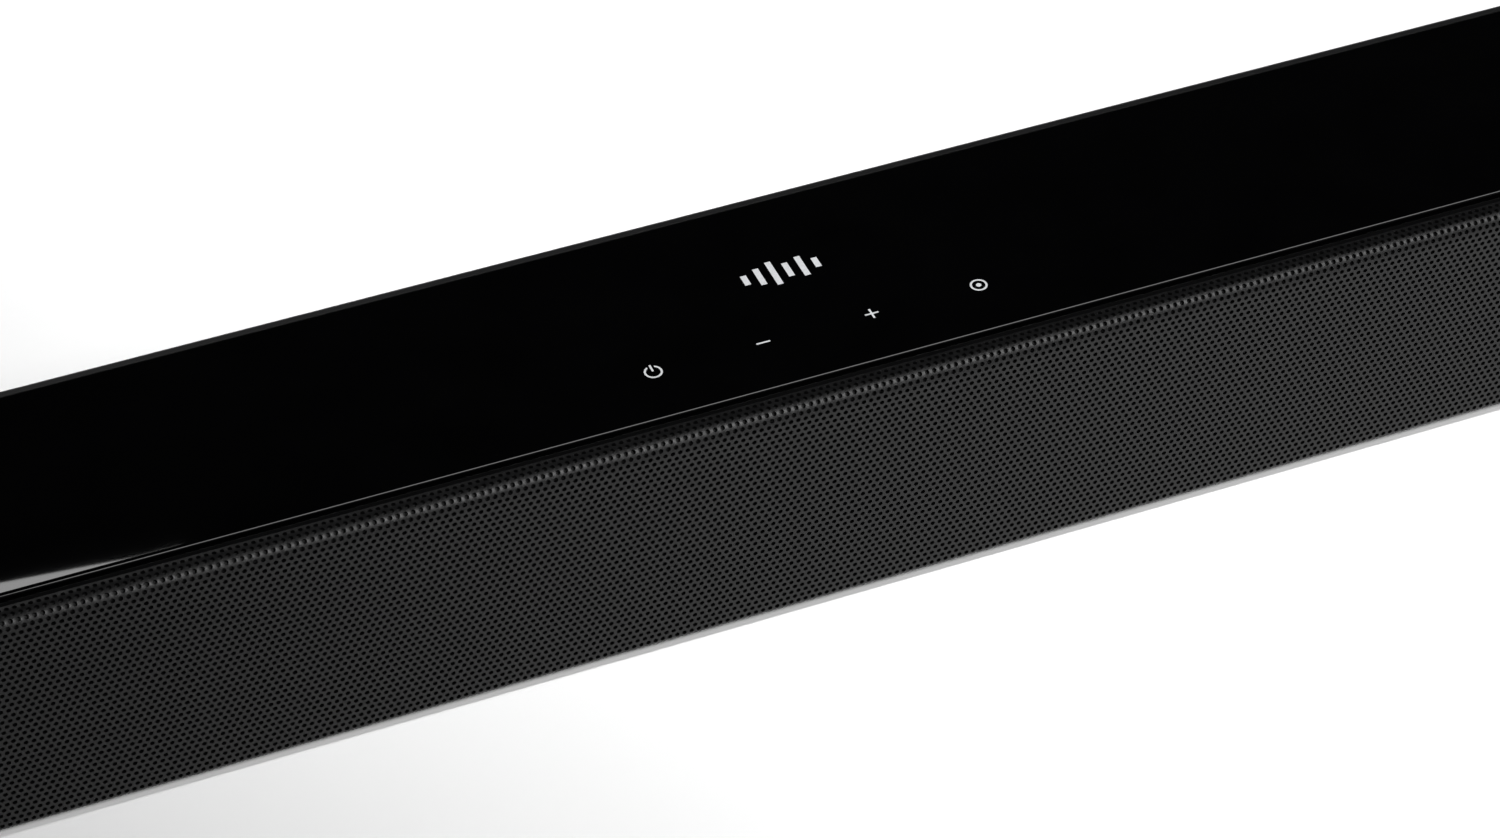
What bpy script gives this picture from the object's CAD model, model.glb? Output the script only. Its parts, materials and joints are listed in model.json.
import json
import math

import bmesh
import bpy
import numpy as np
from mathutils import Matrix, Vector, noise


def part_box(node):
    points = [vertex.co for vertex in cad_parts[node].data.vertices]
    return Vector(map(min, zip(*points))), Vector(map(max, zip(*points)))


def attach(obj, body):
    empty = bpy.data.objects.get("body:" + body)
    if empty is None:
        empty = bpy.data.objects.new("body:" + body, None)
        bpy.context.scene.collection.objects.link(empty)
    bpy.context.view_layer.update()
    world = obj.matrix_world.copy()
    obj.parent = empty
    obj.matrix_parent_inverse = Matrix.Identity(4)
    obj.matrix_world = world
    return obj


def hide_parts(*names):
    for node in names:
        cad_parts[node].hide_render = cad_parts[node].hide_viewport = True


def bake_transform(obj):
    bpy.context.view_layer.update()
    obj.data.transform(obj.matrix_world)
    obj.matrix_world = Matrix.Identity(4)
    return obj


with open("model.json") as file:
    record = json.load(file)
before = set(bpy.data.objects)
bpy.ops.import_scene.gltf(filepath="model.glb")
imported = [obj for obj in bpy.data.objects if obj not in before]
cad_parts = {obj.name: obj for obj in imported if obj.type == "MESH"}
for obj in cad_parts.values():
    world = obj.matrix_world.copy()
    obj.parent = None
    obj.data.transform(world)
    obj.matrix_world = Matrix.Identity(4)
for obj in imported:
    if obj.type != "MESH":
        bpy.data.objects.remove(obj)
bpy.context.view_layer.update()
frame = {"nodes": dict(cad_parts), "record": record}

NODES = frame["nodes"]
CABINET = "cabinet"
MM = 0.001


# --- Camera, stage and light ------------------------------------------------------------------

CAMERA_AT = Vector((-0.31659, -0.76791, 0.74966))
CAMERA_TO = Vector((-0.0266, -0.0375, 0.0635))
CAMERA_ROLL = math.radians(-0.572)
LENS_MM = 110.27
GLOW_FROM, GLOW_TO, GLOW = 0.2, 0.75, 0.72


def make_camera():
    """The camera at the photograph's viewing angle, turned a little about its own axis."""
    forward = (CAMERA_TO - CAMERA_AT).normalized()
    right = forward.cross(Vector((0, 0, 1))).normalized()
    up = right.cross(forward)
    right = right * math.cos(CAMERA_ROLL) + up * math.sin(CAMERA_ROLL)
    up = right.cross(forward)
    data = bpy.data.cameras.new("camera")
    data.lens = LENS_MM
    data.sensor_width = 36
    data.clip_start = 0.05
    data.clip_end = 60
    camera = bpy.data.objects.new("camera", data)
    bpy.context.scene.collection.objects.link(camera)
    camera.matrix_world = Matrix.Translation(CAMERA_AT) @ Matrix(
        (right, up, -forward)).transposed().to_4x4()
    bpy.context.scene.camera = camera


def make_light(name, place, target, size, power, spread=180, turn=0):
    """A rectangular softbox at place, facing target and turned about its own axis."""
    data = bpy.data.lights.new(name, "AREA")
    data.shape = "RECTANGLE"
    data.size, data.size_y = size
    data.energy = power
    data.spread = math.radians(spread)
    lamp = bpy.data.objects.new(name, data)
    bpy.context.scene.collection.objects.link(lamp)
    facing = (Vector(target) - Vector(place)).to_track_quat("-Z", "Y").to_matrix().to_4x4()
    lamp.matrix_world = (Matrix.Translation(Vector(place)) @ facing
                         @ Matrix.Rotation(math.radians(turn), 4, "Z"))
    return lamp


def make_stage():
    """A pale floor, 8 m in radius, that curves up into a low wall and glows away from the bar."""
    radius, cove, wall = 8.0, 1.2, 2.2
    profile = [(0.0, 0.0), (0.5, 0.0), (1.5, 0.0), (4.0, 0.0), (radius, 0.0)]
    profile += [(radius + cove * math.sin(a), cove * (1 - math.cos(a)))
                for a in np.linspace(0, math.pi / 2, 13)[1:]]
    profile += [(radius + cove, wall)]
    sides = 96
    bm = bmesh.new()
    rings = [[bm.verts.new((r * math.cos(a), r * math.sin(a), z - 0.0002))
              for a in np.linspace(0, 2 * math.pi, sides, endpoint=False)]
             for r, z in profile[1:]]
    centre = bm.verts.new((0, 0, -0.0002))
    for k in range(sides):
        bm.faces.new((centre, rings[0][k], rings[0][(k + 1) % sides]))
        for low, high in zip(rings, rings[1:]):
            bm.faces.new((low[k], high[k], high[(k + 1) % sides], low[(k + 1) % sides]))
    mesh = bpy.data.meshes.new("floor")
    bm.to_mesh(mesh)
    bm.free()
    mesh.polygons.foreach_set("use_smooth", [True] * len(mesh.polygons))
    floor = bpy.data.objects.new("floor", mesh)
    bpy.context.scene.collection.objects.link(floor)
    paint = bpy.data.materials.new("pale_floor")
    paint.use_nodes = True
    shader = paint.node_tree.nodes["Principled BSDF"]
    shader.inputs["Base Color"].default_value = (0.86, 0.86, 0.86, 1)
    shader.inputs["Roughness"].default_value = 0.9
    shader.inputs["Specular IOR Level"].default_value = 0
    shader.inputs["Emission Color"].default_value = (1, 1, 1, 1)
    links, nodes = paint.node_tree.links, paint.node_tree.nodes
    place = nodes.new("ShaderNodeTexCoord")
    distance = nodes.new("ShaderNodeVectorMath")
    distance.operation = "LENGTH"
    glow = nodes.new("ShaderNodeMapRange")
    glow.interpolation_type = "SMOOTHSTEP"
    for socket, value in zip(range(1, 5), (GLOW_FROM, GLOW_TO, 0, GLOW)):
        glow.inputs[socket].default_value = value
    links.new(place.outputs["Object"], distance.inputs[0])
    links.new(distance.outputs["Value"], glow.inputs["Value"])
    links.new(glow.outputs[0], shader.inputs["Emission Strength"])
    mesh.materials.append(paint)


def make_spot(name, place, target, angle, blend, power, radius):
    """A round lamp that pools its light on the floor round target."""
    data = bpy.data.lights.new(name, "SPOT")
    data.spot_size = math.radians(angle)
    data.spot_blend = blend
    data.energy = power
    data.shadow_soft_size = radius
    lamp = bpy.data.objects.new(name, data)
    bpy.context.scene.collection.objects.link(lamp)
    facing = (Vector(target) - Vector(place)).to_track_quat("-Z", "Y").to_matrix().to_4x4()
    lamp.matrix_world = Matrix.Translation(Vector(place)) @ facing


def make_light_setup():
    world = bpy.data.worlds.new("studio")
    world.use_nodes = True
    world.node_tree.nodes["Background"].inputs["Color"].default_value = (1, 1, 1, 1)
    world.node_tree.nodes["Background"].inputs["Strength"].default_value = 0.012
    bpy.context.scene.world = world
    bpy.context.scene.view_settings.view_transform = "Standard"
    make_light("key", (0.55, -1.15, 1.32), (0.05, -0.03, 0.03), (1.2, 0.5), 5.5, spread=80)
    make_light("edge_strip", (-0.0437, 0.9655, 1.0203), (-0.2, -0.03, 0.06), (0.2, 0.06), 0.5,
               turn=1.5)
    make_spot("floor_pool", (-1.7, -0.15, 2.3), (0.7, 0.2, 0), 28, 0.4, 350, 0.15)
    make_spot("floor_fill", (-0.15, 0.45, 2.2), (-0.15, 0.45, 0), 20, 0.6, 75, 0.15)


make_camera()
make_stage()
make_light_setup()


# --- Materials --------------------------------------------------------------------------------

MIX_A, MIX_B, MIX_RESULT = 6, 7, 2  # the colour sockets of a Mix node

class Finish:
    """A procedural material around one Principled shader. Sizes are in metres."""

    def __init__(self, name, colour, roughness, **values):
        self.name = name
        self.mat = bpy.data.materials.new(name + "_finish")
        self.mat.use_nodes = True
        self.tree = self.mat.node_tree
        self.shader = self.tree.nodes["Principled BSDF"]
        self.colour = Vector(colour)
        self.set(Base_Color=(*colour, 1), Roughness=roughness, **values)
        self.place = self.node("ShaderNodeTexCoord").outputs["Object"]

    def set(self, **values):
        for key, value in values.items():
            self.shader.inputs[key.replace("_", " ")].default_value = value

    def node(self, kind, **values):
        made = self.tree.nodes.new(kind)
        for key, value in values.items():
            setattr(made, key, value)
        return made

    def feed(self, node, socket, value):
        """Links an output into a socket, or sets the socket's number."""
        if isinstance(value, bpy.types.NodeSocket):
            self.tree.links.new(value, node.inputs[socket])
        else:
            node.inputs[socket].default_value = value

    def math(self, operation, a, b=0.0):
        node = self.node("ShaderNodeMath", operation=operation)
        self.feed(node, 0, a)
        self.feed(node, 1, b)
        return node.outputs[0]

    def spread(self, value, low, high, to_low=0.0, to_high=1.0):
        """Stretches low..high of a texture to another range, clamped."""
        node = self.node("ShaderNodeMapRange")
        for socket, v in zip(range(5), (value, low, high, to_low, to_high)):
            self.feed(node, socket, v)
        return node.outputs[0]

    def texture(self, kind, size, stretch=(1, 1, 1)):
        """A texture with features of about size, longer along the stretched axes."""
        mapping = self.node("ShaderNodeMapping")
        self.feed(mapping, "Vector", self.place)
        mapping.inputs["Scale"].default_value = [1 / (size * s) for s in stretch]
        texture = self.node(kind)
        self.feed(texture, "Vector", mapping.outputs[0])
        self.feed(texture, "Scale", 1.0)
        return texture

    def noise(self, size, detail=2.0, stretch=(1, 1, 1)):
        """Soft noise, 0 to 1."""
        texture = self.texture("ShaderNodeTexNoise", size, stretch)
        self.feed(texture, "Detail", detail)
        return self.spread(texture.outputs["Fac"], 0.28, 0.72)

    def cells(self, size):
        """Distance to the nearest of scattered points about size apart."""
        return self.texture("ShaderNodeTexVoronoi", size).outputs["Distance"]

    def waves(self, axis, pitch):
        """Even ridges across an axis, 0 to 1."""
        split = self.node("ShaderNodeSeparateXYZ")
        self.feed(split, 0, self.place)
        turns = self.math("MULTIPLY", split.outputs[axis], 2 * math.pi / pitch)
        return self.spread(self.math("SINE", turns), -1, 1)

    def tint(self, fac, other):
        """Mixes the colour towards another one by a texture."""
        node = self.node("ShaderNodeMix", data_type="RGBA")
        self.feed(node, "Factor", fac)
        old = self.shader.inputs["Base Color"]
        if old.links:
            self.feed(node, MIX_A, old.links[0].from_socket)
        else:
            node.inputs[MIX_A].default_value = old.default_value
        node.inputs[MIX_B].default_value = (*other, 1)
        self.feed(self.shader, "Base Color", node.outputs[MIX_RESULT])
        return self

    def shade(self, fac, share):
        """Darkens the colour by a share where the texture is 1."""
        return self.tint(fac, self.colour * (1 - share))

    def rough(self, fac, low, high):
        self.feed(self.shader, "Roughness", self.spread(fac, 0, 1, low, high))
        return self

    def bump(self, height, depth):
        """Raises the surface by up to depth where the texture is 1."""
        node = self.node("ShaderNodeBump")
        self.feed(node, "Height", height)
        self.feed(node, "Distance", depth)
        old = self.shader.inputs["Normal"]
        if old.links:
            self.feed(node, "Normal", old.links[0].from_socket)
        self.feed(self.shader, "Normal", node.outputs[0])
        return self


def gloss_panel():
    f = Finish("gloss_panel", (0.0006, 0.0006, 0.0007), 0.03, Specular_IOR_Level=0.155)
    f.shade(f.noise(0.02, 3), 0.4)
    return f.rough(f.noise(0.05, 4), 0.012, 0.02)


def mark_print():
    f = Finish("mark_print", (0.5, 0.51, 0.52), 0.5)
    f.shade(f.noise(0.0008, 3), 0.12)
    return f.bump(f.noise(0.0003), 0.00001)


def painted(name, colour, roughness, **values):
    """Powder coat: a soft orange peel with a fine speckle in gloss and colour."""
    f = Finish(name, colour, roughness, **values)
    f.shade(f.noise(0.0016, 3), 0.35)
    f.rough(f.noise(0.004, 3), roughness - 0.04, roughness + 0.06)
    return f.bump(f.noise(0.00035), 0.000012)


def moulded(name, colour, roughness, grain, depth, **values):
    """Moulded plastic or rubber: faint flow marks under a fine etched grain."""
    f = Finish(name, colour, roughness, **values)
    f.shade(f.noise(0.012, 4), 0.3)
    f.rough(f.noise(0.005, 3), roughness - 0.05, roughness + 0.07)
    return f.bump(f.cells(grain), depth)


def plated(name, colour, roughness, stretch):
    """Bare or plated metal with fine tool lines along its stretched axis."""
    f = Finish(name, colour, roughness, Metallic=1)
    lines = f.noise(0.0002, 4, stretch)
    f.shade(f.noise(0.003, 4), 0.2)
    f.rough(lines, roughness - 0.06, roughness + 0.08)
    return f.bump(lines, 0.000006)


def woven(name, colour, roughness, pitch, depth, sheen=0.0):
    """Cloth in a plain weave across X and Z."""
    f = Finish(name, colour, roughness, Specular_IOR_Level=0.2, Sheen_Weight=sheen)
    thread = f.math("MULTIPLY", f.waves("X", pitch), f.waves("Z", pitch))
    f.shade(thread, 0.45)
    f.shade(f.noise(0.004, 3), 0.3)
    return f.bump(thread, depth)


def copper():
    f = Finish("coil_copper", (0.55, 0.22, 0.09), 0.3, Metallic=1)
    turns = f.waves("Y", 0.0004)
    f.shade(turns, 0.4)
    return f.bump(turns, 0.00008)


def paper():
    f = Finish("cone_paper", (0.02, 0.02, 0.021), 0.7)
    fibres = f.noise(0.0004, 4, (6, 1, 2))
    f.shade(fibres, 0.4)
    f.rough(f.noise(0.006, 3), 0.62, 0.8)
    return f.bump(fibres, 0.00004)


def fibre():
    f = Finish("wadding_fibre", (0.62, 0.62, 0.59), 0.95, Sheen_Weight=0.4,
               Subsurface_Weight=0.2, Subsurface_Scale=0.004)
    strands = f.noise(0.0006, 6, (5, 1, 3))
    f.shade(strands, 0.35)
    return f.bump(strands, 0.0006)


def circuit_board():
    """Green solder mask over runs of copper track."""
    f = Finish("circuit_board", (0.012, 0.075, 0.03), 0.35, Coat_Weight=0.4)
    runs = f.spread(f.waves("Y", 0.0016), 0.55, 0.7)
    across = f.spread(f.waves("X", 0.0021), 0.6, 0.75)
    zone = f.spread(f.noise(0.011, 1), 0.45, 0.5)
    tracks = f.math("MAXIMUM", f.math("MULTIPLY", runs, zone),
                    f.math("MULTIPLY", across, f.math("SUBTRACT", 1.0, zone)))
    f.tint(tracks, (0.03, 0.16, 0.06))
    return f.bump(tracks, 0.00004)


def transformer():
    f = Finish("transformer_core", (0.16, 0.12, 0.03), 0.4)
    f.tint(f.spread(f.noise(0.006, 2), 0.4, 0.6), (0.42, 0.3, 0.03))
    return f.bump(f.waves("Z", 0.0012), 0.00006)


def sleeve():
    f = Finish("capacitor_sleeve", (0.012, 0.018, 0.05), 0.25, Coat_Weight=0.5)
    f.shade(f.noise(0.002, 3), 0.3)
    return f.bump(f.noise(0.003, 2), 0.00005)


def film():
    f = Finish("insulation_film", (0.8, 0.82, 0.85), 0.12, Transmission_Weight=0.7)
    f.rough(f.noise(0.01, 3), 0.08, 0.25)
    return f.bump(f.noise(0.02, 1), 0.0002)


def brass():
    f = Finish("insert_brass", (0.5, 0.3, 0.09), 0.3, Metallic=1)
    f.shade(f.noise(0.002, 3), 0.3)
    return f.bump(f.waves("Z", 0.0006), 0.00008)


def dull_ferrite():
    f = Finish("ferrite", (0.035, 0.035, 0.038), 0.6)
    f.shade(f.noise(0.002, 5), 0.5)
    return f.bump(f.noise(0.0008, 5), 0.00008)


FINISHES = {f.name: f.mat for f in (
    gloss_panel(), mark_print(), copper(), paper(), fibre(), circuit_board(), transformer(),
    sleeve(), film(), brass(), dull_ferrite(),
    painted("grille_steel", (0.003, 0.003, 0.0032), 0.36, Specular_IOR_Level=0.29),
    painted("basket_steel", (0.03, 0.03, 0.033), 0.4),
    painted("socket_plate", (0.014, 0.014, 0.015), 0.45),
    painted("black_screw", (0.02, 0.02, 0.021), 0.38, Metallic=0.6),
    moulded("shell_plastic", (0.004, 0.004, 0.0043), 0.42, 0.0006, 0.00002,
            Specular_IOR_Level=0.3),
    moulded("frame_plastic", (0.004, 0.004, 0.0042), 0.7, 0.0008, 0.00004),
    moulded("baffle_plastic", (0.009, 0.009, 0.0095), 0.6, 0.0007, 0.00004),
    moulded("port_plastic", (0.009, 0.009, 0.0095), 0.35, 0.0005, 0.000015),
    moulded("tweeter_plastic", (0.016, 0.016, 0.017), 0.4, 0.0006, 0.00002),
    moulded("dust_cap_plastic", (0.01, 0.01, 0.011), 0.35, 0.0006, 0.00001),
    moulded("socket_plastic", (0.01, 0.01, 0.0105), 0.5, 0.0004, 0.00002),
    moulded("chip_plastic", (0.016, 0.016, 0.017), 0.6, 0.0002, 0.00001),
    moulded("foot_rubber", (0.018, 0.018, 0.018), 0.85, 0.0003, 0.00003),
    moulded("surround_rubber", (0.012, 0.012, 0.012), 0.55, 0.0005, 0.00001),
    moulded("lead_sleeve", (0.22, 0.015, 0.015), 0.4, 0.0008, 0.00001),
    plated("yoke_steel", (0.5, 0.5, 0.5), 0.32, (1, 1, 1)),
    plated("zinc_screw", (0.52, 0.52, 0.5), 0.35, (4, 4, 1)),
    plated("socket_metal", (0.55, 0.55, 0.55), 0.25, (12, 1, 1)),
    plated("sink_aluminium", (0.5, 0.5, 0.52), 0.38, (1, 40, 1)),
    woven("scrim_cloth", (0.006, 0.006, 0.0064), 0.9, 0.0005, 0.00012),
    woven("spider_cloth", (0.45, 0.27, 0.06), 0.6, 0.0007, 0.0001),
    woven("dome_silk", (0.03, 0.03, 0.033), 0.5, 0.00025, 0.00002, sheen=0.3))}


def finish_for(piece, slot):
    """Gives a piece its material slot and that slot's finish."""
    piece.data.materials.clear()
    piece.data.materials.append(FINISHES[slot])
    return piece


# --- Mesh helpers -----------------------------------------------------------------------------

def link(name, mesh, body, slot, *replaced):
    """Puts a finished mesh in the scene as a piece that stands for some CAD nodes."""
    piece = bpy.data.objects.new(name, mesh)
    bpy.context.scene.collection.objects.link(piece)
    if body:
        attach(piece, body)
    if replaced:
        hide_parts(*replaced)
    return finish_for(piece, slot)


def mesh_from_arrays(name, points, faces):
    """A smooth mesh from an array of points and a list of face arrays, each of one width."""
    mesh = bpy.data.meshes.new(name)
    loops = np.concatenate([f.ravel() for f in faces]).astype(np.int32)
    widths = np.concatenate([np.full(len(f), f.shape[1]) for f in faces])
    starts = np.concatenate([[0], np.cumsum(widths)[:-1]]).astype(np.int32)
    mesh.vertices.add(len(points))
    mesh.vertices.foreach_set("co", points.astype(np.float32).ravel())
    mesh.loops.add(len(loops))
    mesh.loops.foreach_set("vertex_index", loops)
    mesh.polygons.add(len(starts))
    mesh.polygons.foreach_set("loop_start", starts)
    mesh.update(calc_edges=True)
    mesh.polygons.foreach_set("use_smooth", np.ones(len(starts), bool))
    return mesh


def softened(node, slot, width, body):
    """A copy of a CAD node with welded corners, rounded edges and smooth shading."""
    bm = bmesh.new()
    bm.from_mesh(NODES[node].data)
    bmesh.ops.remove_doubles(bm, verts=bm.verts, dist=1e-6)
    bmesh.ops.dissolve_limit(bm, angle_limit=math.radians(0.4), verts=bm.verts,
                             edges=bm.edges)
    mesh = bpy.data.meshes.new(node)
    bm.verts.index_update()
    mesh.from_pydata([v.co[:] for v in bm.verts], [],
                     [[v.index for v in f.verts] for f in bm.faces])
    bm.free()
    mesh.polygons.foreach_set("use_smooth", [True] * len(mesh.polygons))
    mesh.set_sharp_from_angle(angle=math.radians(35))
    piece = link("soft_" + node, mesh, body, slot, node)
    if width:
        edge = piece.modifiers.new("edges", "BEVEL")
        edge.width = width
        edge.segments = 2
        edge.limit_method = "ANGLE"
        edge.angle_limit = math.radians(40)
    even = piece.modifiers.new("normals", "WEIGHTED_NORMAL")
    even.keep_sharp = True
    return piece


# --- Grille -----------------------------------------------------------------------------------

SHEET_T = 0.8 * MM
BEND_R, LOW_BEND_R = 4 * MM, 1.2 * MM
HOLE_R = 0.575 * MM
HOLE_SIDES = 12
HOLE_COLUMNS = 517
HOLE_ROWS = 46
END_MARGIN = 1 * MM
TOP_MARGIN = 0.06 * MM
TOP_RETURN = 5.2 * MM
GRILLE_PARTS = 8


class GrilleSheet:
    """The grille's flat pattern, and how it bends round the front of the bar."""

    def __init__(self):
        low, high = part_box("front_grille")
        self.length = high.x - low.x
        self.low, self.high = low, high
        self.flange = TOP_RETURN - BEND_R
        self.face = high.z - low.z - BEND_R - LOW_BEND_R
        self.arc, self.low_arc = BEND_R * math.pi / 2, LOW_BEND_R * math.pi / 2
        self.low_flange = high.y - low.y - LOW_BEND_R
        self.height = (self.flange + self.arc + self.face + self.low_arc
                       + self.low_flange)
        self.pitch = (self.length - 2 * END_MARGIN) / (HOLE_COLUMNS + 0.5)
        self.corner = self.pitch / math.sqrt(3)

    def bend(self, s, t):
        """Y and Z at distance s along the outer face from the top flange's rear edge, and
        depth t into the sheet."""
        low, high = self.low, self.high
        turn = np.clip((s - self.flange) / self.arc, 0, 1)
        turn = turn + np.clip((s - self.flange - self.arc - self.face) / self.low_arc, 0, 1)
        angle = (1 + turn) * math.pi / 2
        top = s < self.flange + self.arc + self.face / 2
        bend = np.where(top, BEND_R, LOW_BEND_R)
        y = low.y + bend + (bend - t) * np.cos(angle)
        z = np.where(top, high.z - bend, low.z + bend) + (bend - t) * np.sin(angle)
        y = y + np.maximum(self.flange - s, 0)
        y = y + np.maximum(s - self.height + self.low_flange, 0)
        down = np.clip(s - self.flange - self.arc, 0, self.face)
        z = z - np.where(top, down, down - self.face)
        return y, z

    def part(self, first, last):
        """Points and faces of the columns first to last - 1, laid out flat."""
        i, j = np.meshgrid(np.arange(first, last), np.arange(HOLE_ROWS), indexing="ij")
        cx = (self.low.x + END_MARGIN + (i + 0.5 + 0.5 * (j % 2)) * self.pitch).ravel()
        cs = (TOP_MARGIN + (1.5 * j + 1) * self.corner).ravel()
        a = np.radians(60 * np.arange(6) + 30)
        corner = np.stack([cx[:, None] + self.corner * np.cos(a),
                           cs[:, None] + self.corner * np.sin(a)], -1).reshape(-1, 2)
        origin = [self.low.x + END_MARGIN, TOP_MARGIN]  # keeps the keys whole numbers
        key = np.round((corner - origin) / [self.pitch / 2, self.corner / 2]).astype(int)
        _, where, ids = np.unique(key, axis=0, return_index=True, return_inverse=True)
        a = np.radians(360 / HOLE_SIDES * np.arange(HOLE_SIDES) + 30)
        ring = np.stack([cx[:, None] + HOLE_R * np.cos(a),
                         cs[:, None] + HOLE_R * np.sin(a)], -1).reshape(-1, 2)
        points = [corner[where], ring]
        c = ids.reshape(-1, 6)
        r = len(where) + np.arange(len(ring)).reshape(-1, HOLE_SIDES)
        cells = [np.stack([c[:, k], c[:, (k + 1) % 6], r[:, (2 * k + 2) % HOLE_SIDES],
                           r[:, 2 * k + 1], r[:, 2 * k]], 1) for k in range(6)]
        count = len(where) + len(ring)
        c = c.reshape(last - first, HOLE_ROWS, 6)
        flat = np.concatenate(points)
        strips = []

        def strip(chain, x=None, s=None):
            """Faces from a chain of points out to their places on a straight edge."""
            nonlocal flat, count
            line = flat[chain].copy()
            if x is not None:
                line[:, 0] = x
            if s is not None:
                line[:, 1] = s
            new = count + np.arange(len(chain))
            flat = np.concatenate([flat, line])
            count += len(chain)
            strips.append(np.stack([chain[:-1], chain[1:], new[1:], new[:-1]], 1))
            return new

        under = np.concatenate([[c[0, 0, 3]], c[:, 0, 4:6].ravel()])
        above = np.concatenate([[c[0, -1, 2]], c[:, -1, [1, 0]].ravel()])
        low = strip(under[::-1], s=0.0)[::-1]
        high = strip(above, s=self.height)
        if first == 0:
            side = np.concatenate([[low[0]], c[0][:, [3, 2]].ravel(), [high[0]]])
            strip(side, x=self.low.x)
        if last == HOLE_COLUMNS:
            side = np.concatenate([[low[-1]], c[-1][:, [5, 0]].ravel(), [high[-1]]])
            strip(side[::-1], x=self.high.x)
        return flat, cells + strips

    def make(self, name, first, last):
        flat, front = self.part(first, last)
        count = len(flat)
        y0, z0 = self.bend(flat[:, 1], 0)
        y1, z1 = self.bend(flat[:, 1], SHEET_T)
        x = flat[:, 0]
        points = np.concatenate([np.stack([x, y0, z0], 1), np.stack([x, y1, z1], 1)])
        edges = np.concatenate([np.stack([f, np.roll(f, -1, 1)], -1).reshape(-1, 2)
                                for f in front])
        forward, back = edges @ [count, 1], edges @ [1, count]
        rim = edges[~np.isin(forward, back)]
        walls = np.stack([rim[:, 1], rim[:, 0], rim[:, 0] + count, rim[:, 1] + count], 1)
        faces = front + [f[:, ::-1] + count for f in front] + [walls]
        mesh = mesh_from_arrays(name, points, [f[:, ::-1] for f in faces])
        mesh.set_sharp_from_angle(angle=math.radians(40))
        return link(name, mesh, CABINET, "grille_steel", "front_grille")


grille = GrilleSheet()
stops = np.linspace(0, HOLE_COLUMNS, GRILLE_PARTS + 1).round().astype(int)
for k in range(GRILLE_PARTS):
    grille.make(f"grille_part_{k + 1}", stops[k], stops[k + 1])


# --- Cloth, fill, leads and the moving suspensions ---------------------------------------------

def solid(name, points, faces, body, slot, *replaced, angle=40):
    """A smooth piece from plain lists of points and faces, with its normals facing out."""
    bm = bmesh.new()
    made = [bm.verts.new(p) for p in points]
    for face in faces:
        bm.faces.new([made[i] for i in face])
    bmesh.ops.recalc_face_normals(bm, faces=bm.faces)
    mesh = bpy.data.meshes.new(name)
    bm.to_mesh(mesh)
    bm.free()
    mesh.polygons.foreach_set("use_smooth", [True] * len(mesh.polygons))
    mesh.set_sharp_from_angle(angle=math.radians(angle))
    return link(name, mesh, body, slot, *replaced)


def loft(rings):
    """Faces that join rings of equally many points, and its two flat ends."""
    n = len(rings[0])
    faces = [(i * n + k, i * n + (k + 1) % n, (i + 1) * n + (k + 1) % n, (i + 1) * n + k)
             for i in range(len(rings) - 1) for k in range(n)]
    faces += [tuple(range(n)), tuple(range((len(rings) - 1) * n, len(rings) * n))]
    return [p for ring in rings for p in ring], faces


def make_scrim():
    """The cloth behind the grille, stretched over the frame's ribs and slack between them."""
    low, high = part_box("grille_scrim")
    ribs = 11
    columns, rows = 440, 30
    middle = (low.y + high.y) / 2
    points = []
    for layer in (-0.1 * MM, 0.1 * MM):
        for i in range(columns + 1):
            for j in range(rows + 1):
                x = low.x + (high.x - low.x) * i / columns
                z = low.z + (high.z - low.z) * j / rows
                slack = abs(math.sin(math.pi * ribs * i / columns)) * math.sin(math.pi * j / rows)
                ripple = noise.noise(Vector((x * 60, 0, z * 60)))
                points.append((x, middle + layer + (0.03 + 0.05 * ripple) * slack * MM, z))
    count = (columns + 1) * (rows + 1)
    cell = [(i * (rows + 1) + j, (i + 1) * (rows + 1) + j, (i + 1) * (rows + 1) + j + 1,
             i * (rows + 1) + j + 1) for i in range(columns) for j in range(rows)]
    rim = ([i * (rows + 1) for i in range(columns)]
           + [columns * (rows + 1) + j for j in range(rows)]
           + [i * (rows + 1) + rows for i in range(columns, 0, -1)]
           + list(range(rows, 0, -1)))
    walls = [(a, b, b + count, a + count) for a, b in zip(rim, rim[1:] + rim[:1])]
    faces = cell + [tuple(v + count for v in reversed(f)) for f in cell] + walls
    piece = solid("acoustic_cloth", points, faces, CABINET, "scrim_cloth", "grille_scrim")


def make_wadding(name, side):
    """A loose block of polyester fibre, crowned and lumpy, inside its CAD block."""
    low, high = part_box("wadding")
    size = Vector((FILL_LENGTH, high.y - low.y, high.z - low.z))
    centre = Vector((side * (high.x - FILL_LENGTH / 2), (low.y + high.y) / 2,
                     (low.z + high.z) / 2))
    bm = bmesh.new()
    bmesh.ops.create_cube(bm, size=2)
    bmesh.ops.subdivide_edges(bm, edges=bm.edges[:], cuts=31, use_grid_fill=True)
    for v in bm.verts:
        p = v.co / sum(abs(c) ** 5 for c in v.co) ** 0.2
        place = Vector((p.x * size.x, p.y * size.y, p.z * size.z)) / 2
        lumps = noise.fractal(place / LUMP_SIZE + Vector((side * 7, 0, 0)), 1.0, 2.0, 3)
        v.co = centre + place * (0.93 + 0.06 * max(-1, min(1, lumps)))
    mesh = bpy.data.meshes.new(name)
    bm.to_mesh(mesh)
    bm.free()
    mesh.polygons.foreach_set("use_smooth", [True] * len(mesh.polygons))
    piece = link(name, mesh, CABINET, "wadding_fibre", "wadding")


def smooth_route(route, steps=6):
    """Points of a smooth curve through a route's points."""
    p = [Vector(q) * MM for q in route]
    p = [2 * p[0] - p[1]] + p + [2 * p[-1] - p[-2]]
    curve = []
    for a, b, c, d in zip(p, p[1:], p[2:], p[3:]):
        for k in range(steps):
            t = k / steps
            curve.append(0.5 * (2 * b + (c - a) * t + (2 * a - 5 * b + 4 * c - d) * t * t
                                + (3 * b - 3 * c + d - a) * t ** 3))
    return curve + [p[-2]]


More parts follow.
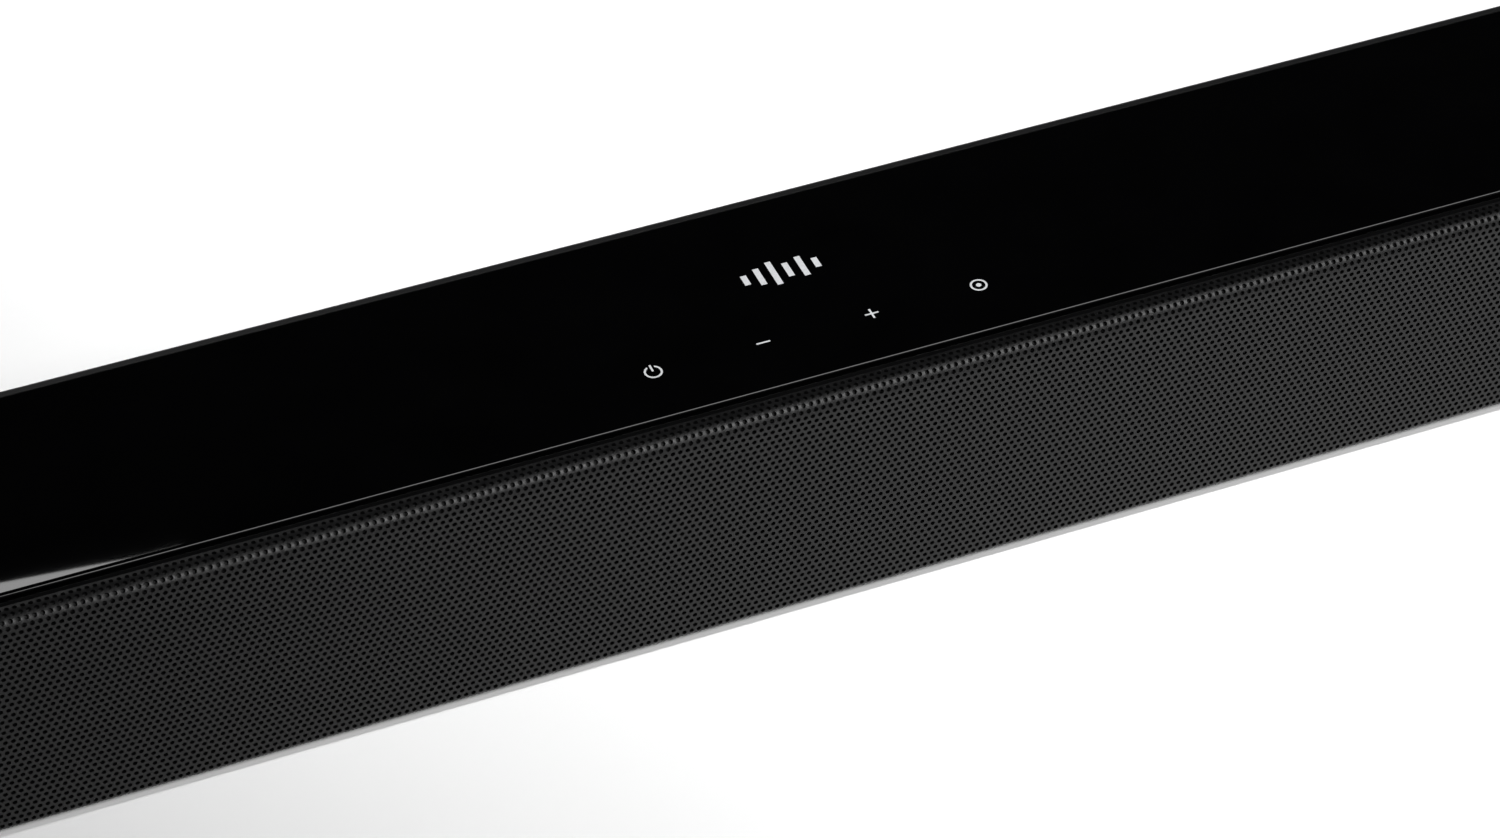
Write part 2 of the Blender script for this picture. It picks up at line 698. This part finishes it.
def make_lead(name, route):
    """A twin speaker lead: two round cores side by side along the route."""
    curve = smooth_route(route)
    across = Vector((0, 1, 0))
    points, faces = [], []
    for side in (-1, 1):
        rings = []
        for i, p in enumerate(curve):
            along = (curve[min(i + 1, len(curve) - 1)] - curve[max(i - 1, 0)]).normalized()
            across = (across - along * across.dot(along)).normalized()
            over = along.cross(across)
            angles = np.linspace(0, 2 * math.pi, 12, endpoint=False)
            rings.append([p + (side * CORE_R + CORE_R * math.cos(a)) * across
                          + CORE_R * math.sin(a) * over for a in angles])
        more, joined = loft(rings)
        faces += [tuple(len(points) + v for v in f) for f in joined]
        points += more
    solid(name, points, faces, CABINET, "lead_sleeve", name)


def roll_section(r_in, r_out, middle, roll, t, depth, n=16):
    """Section of a half roll between two flat lips, as radius and depth."""
    turn = [math.pi * (1 + k / n) for k in range(n + 1)]
    return ([(r_in, depth), (r_in, depth - t)]
            + [(middle + roll * math.cos(a), depth - t + roll * math.sin(a)) for a in turn]
            + [(r_out, depth - t), (r_out, depth)]
            + [(middle + (roll - t) * math.cos(a), depth + (roll - t) * math.sin(a))
               for a in reversed(turn)])


def wave_section(r_in, r_out, depth, t, n=64):
    """Section of the corrugated spider: four waves between two flat margins."""
    def wave(r):
        along = max(0, min(1, (r - WAVES_FROM) / WAVES_WIDTH))
        return depth + WAVE_HEIGHT * math.sin(along * 8 * math.pi)
    radii = [r_in + (r_out - r_in) * k / n for k in range(n + 1)]
    return ([(r, wave(r) - t / 2) for r in radii]
            + [(r, wave(r) + t / 2) for r in reversed(radii)])


def flex_ring(node, slot, centre_x, section, straight=0.0,
              sectors=8):
    """A ring in sectors that stretch between the cabinet and a driver's moving body."""
    half = math.pi / sectors
    parts = []
    for k in range(sectors):
        middle = (2 * k + 1) * half
        x = centre_x + math.copysign(straight / 2, math.cos(middle))
        rings = [[(x + r * math.cos(a), Y_DRIVER + d, Z_DRIVER + r * math.sin(a))
                  for r, d in section] for a in np.linspace(middle - half, middle + half, 9)]
        parts.append((rings, x, middle, 1.0))
    for side in (-1, 1) if straight else ():
        rings = [[(centre_x + x, Y_DRIVER + d, Z_DRIVER + side * r) for r, d in section]
                 for x in np.linspace(-straight / 2, straight / 2, 9)]
        parts.append((rings, centre_x, side * math.pi / 2, 1 / math.cos(half)))
    for k, (rings, x, angle, reach) in enumerate(parts):
        points, faces = loft([[Vector(p) * MM for p in ring] for ring in rings])
        piece = solid(f"{node}_{k + 1}", points, faces, None, slot, node, angle=60)
        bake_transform(piece)


FILL_LENGTH = 0.108
LUMP_SIZE = 14 * MM
CORE_R = 0.62 * MM
# The spider's corrugations, in millimetres
WAVES_FROM, WAVES_WIDTH, WAVE_HEIGHT = 13.6, 4.4, 0.6
# The drivers' axis and the plane of their flanges, in millimetres
Y_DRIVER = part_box("front_baffle")[0].y / MM
Z_DRIVER = sum(v.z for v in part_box("left_woofer_magnet")) / 2 / MM
WOOFER_X, TWEETER_X = 290, 400

RIGHT_ROUTE = [
    (41, 2, 19.4), (41, 2, 30), (44, 2, 40), (52, 3, 47), (66, 5, 50), (100, 8, 50),
    (140, 8, 50), (160, 8, 50), (200, 8, 51), (218, 4, 49), (228, -6, 44), (234, -16, 38),
    (239, -21.5, 33), (243.6, -22, 31.5)]
LEFT_ROUTE = [
    (-106, -2, 19.4), (-106, -2, 30), (-109, -1, 40), (-116, 3, 47), (-126, 7, 50),
    (-140, 8, 50), (-160, 8, 50), (-200, 8, 51), (-218, 4, 49), (-228, -6, 44),
    (-234, -16, 38), (-239, -21.5, 33), (-243.6, -22, 31.5)]

make_scrim()
make_wadding("left_wadding", -1)
make_wadding("right_wadding", 1)
make_lead("left_speaker_lead", LEFT_ROUTE)
make_lead("right_speaker_lead", RIGHT_ROUTE)
for hand, sign in (("left", -1), ("right", 1)):
    flex_ring(f"{hand}_woofer_surround", "surround_rubber", sign * WOOFER_X,
              roll_section(r_in=13.4, r_out=22, middle=17.1, roll=2.6, t=0.5, depth=-0.02),
              straight=42, sectors=16)
    flex_ring(f"{hand}_woofer_spider", "spider_cloth", sign * WOOFER_X,
              wave_section(r_in=12.95, r_out=19.4, depth=14.7, t=0.4))
    flex_ring(f"{hand}_tweeter_surround", "surround_rubber", sign * TWEETER_X,
              roll_section(r_in=10.35, r_out=13.9, middle=11.7, roll=1.1, t=0.3, depth=5.02))


# --- Every other node ---------------------------------------------------------------------------

# Width of the softened edges in millimetres; other nodes keep theirs sharp
EDGES = {
    "top_shell": 0.25, "bottom_shell": 0.25, "rear_panel": 0.25, "left_end_cap": 0.5,
    "right_end_cap": 0.5, "feet": 0.4, "left_port": 0.15, "right_port": 0.15, "io_plate": 0.15,
    "hdmi_socket": 0.12, "optical_socket": 0.2, "aux_socket": 0.2, "mains_inlet": 0.25,
    "rear_screws": 0.1, "wall_inserts": 0.1, "grille_frame": 0.2, "front_baffle": 0.2,
    "bulkheads": 0.2, "main_board": 0.1, "power_board": 0.1, "board_chips": 0.2,
    "heat_sink": 0.2, "transformer": 0.3, "capacitors": 0.6, "touch_board": 0.1,
    "ir_board": 0.1, "driver_screws": 0.1, "board_screws": 0.1}
DRIVER_EDGES = {"woofer_basket": 0.2, "woofer_magnet": 0.5, "woofer_yoke": 0.2,
                "tweeter_body": 0.2}
INLAYS = ("touch_icons", "emblem")
BODY_OF = {n: body for body, nodes in frame["record"]["behaviour"]["bodies"].items()
           for n in nodes}

for entry in frame["record"]["subparts"]:
    node, slot = entry["node"], entry["material_slot"]
    if node in INLAYS:
        finish_for(NODES[node], slot)
    elif not NODES[node].hide_render:
        width = EDGES.get(node, DRIVER_EDGES.get(node.partition("_")[2], 0))
        softened(node, slot, width * MM, BODY_OF[node])
